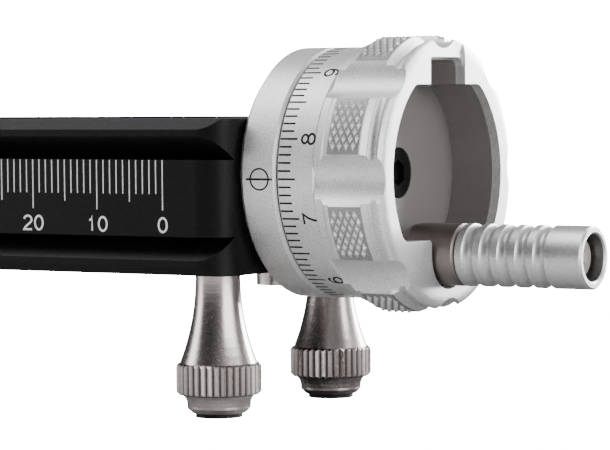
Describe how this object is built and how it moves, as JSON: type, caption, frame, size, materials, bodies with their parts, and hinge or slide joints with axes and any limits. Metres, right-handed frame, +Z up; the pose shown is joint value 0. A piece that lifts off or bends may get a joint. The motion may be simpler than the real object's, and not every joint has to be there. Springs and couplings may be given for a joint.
{
  "type": "macro focusing rail",
  "caption": "Screw-driven macro focusing rail: scale on a black dovetail beam, plate clamp on a carriage, graduated drum and scalloped hand knob with a folding crank, screw-in feet.",
  "frame": {"origin": "centre of the mouth of the central tripod socket, in the middle of the beam's flat underside", "axes": "+X along the beam towards the drum and hand knob, +Y across it away from the engraved scale, +Z up towards the carriage"},
  "size_m": [0.2395, 0.0683, 0.0569],
  "materials": {
    "anodised_black": "satin black anodised with a fine grain",
    "bead_silver": "fine bead-blasted natural anodise",
    "stainless": "turned and brushed stainless",
    "gunmetal": "brushed dark grey steel",
    "bronze": "machined bronze",
    "rubber": "matt black rubber",
    "black_steel": "black oxide",
    "vial": "clear level liquid under a lens"
  },
  "bodies": {
    "beam": {"rail_body": "anodised_black", "stop_screws": "stainless", "foot_1": "stainless", "foot_2": "stainless", "foot_3": "stainless", "foot_4": "stainless", "pad_1": "rubber", "pad_2": "rubber", "pad_3": "rubber", "pad_4": "rubber", "tail_bush": "bronze", "tail_cap": "anodised_black", "index_ring": "bead_silver", "ring_screws": "stainless", "bearing_outer": "stainless", "bearing_balls": "stainless"},
    "hand_wheel": {"lead_screw": "stainless", "thrust_collar": "stainless", "bearing_inner": "stainless", "drum": "bead_silver", "knob_shell": "bead_silver", "crank_core": "gunmetal", "knob_bezel": "bead_silver", "hub_screw": "black_steel", "hinge_pin": "stainless"},
    "crank": {"crank_block": "gunmetal", "crank_shaft": "stainless", "crank_end_screw": "stainless"},
    "sleeve": {"crank_sleeve": "bead_silver"},
    "carriage": {"carriage": "anodised_black", "way_gib": "gunmetal", "gib_screws": "stainless", "nut_bracket": "bead_silver", "drive_nut": "bronze", "preload_nut": "bronze", "nut_screws": "stainless", "clamp_base": "anodised_black", "clamp_fixing_screws": "stainless", "level_vial": "vial"},
    "carriage_lock": {"carriage_lock": "anodised_black"},
    "jaw": {"clamp_jaw": "anodised_black", "guide_pins": "stainless"},
    "clamp_knob": {"clamp_screw": "stainless", "clamp_clip": "stainless", "clamp_knob": "anodised_black"}
  },
  "joints": [
    {"name": "hand_wheel_turn", "type": "hinge", "parent": "beam", "child": "hand_wheel", "pos_m": [0.0989, 0, 0.01235], "axis": [1, 0, 0], "range_deg": [-25470, 17730]},
    {"name": "carriage_slide", "type": "slide", "parent": "beam", "child": "carriage", "axis": [-1, 0, 0], "range_m": [-0.07075, 0.04925]},
    {"name": "crank_fold", "type": "hinge", "parent": "hand_wheel", "child": "crank", "pos_m": [0.11696, 0, 0.00235], "axis": [0, -1, 0], "range_deg": [0, 90]},
    {"name": "sleeve_spin", "type": "hinge", "parent": "crank", "child": "sleeve", "pos_m": [0.12296, 0, 0.00235], "axis": [1, 0, 0], "continuous": true},
    {"name": "carriage_lock_turn", "type": "hinge", "parent": "carriage", "child": "carriage_lock", "pos_m": [-0.02575, 0.0261, 0.01698], "axis": [0, 1, 0], "range_deg": [0, 360]},
    {"name": "clamp_knob_turn", "type": "hinge", "parent": "jaw", "child": "clamp_knob", "pos_m": [-0.01075, 0.0281, 0.0297], "axis": [0, 1, 0], "range_deg": [-360, 1440]},
    {"name": "jaw_slide", "type": "slide", "parent": "carriage", "child": "jaw", "axis": [0, 1, 0], "range_m": [-0.001, 0.004]}
  ],
  "couplings": [
    {"joint": "hand_wheel_turn", "follows": "carriage_slide", "rad_per_m": 6283.2},
    {"joint": "clamp_knob_turn", "follows": "jaw_slide", "rad_per_m": 6283.2}
  ]
}
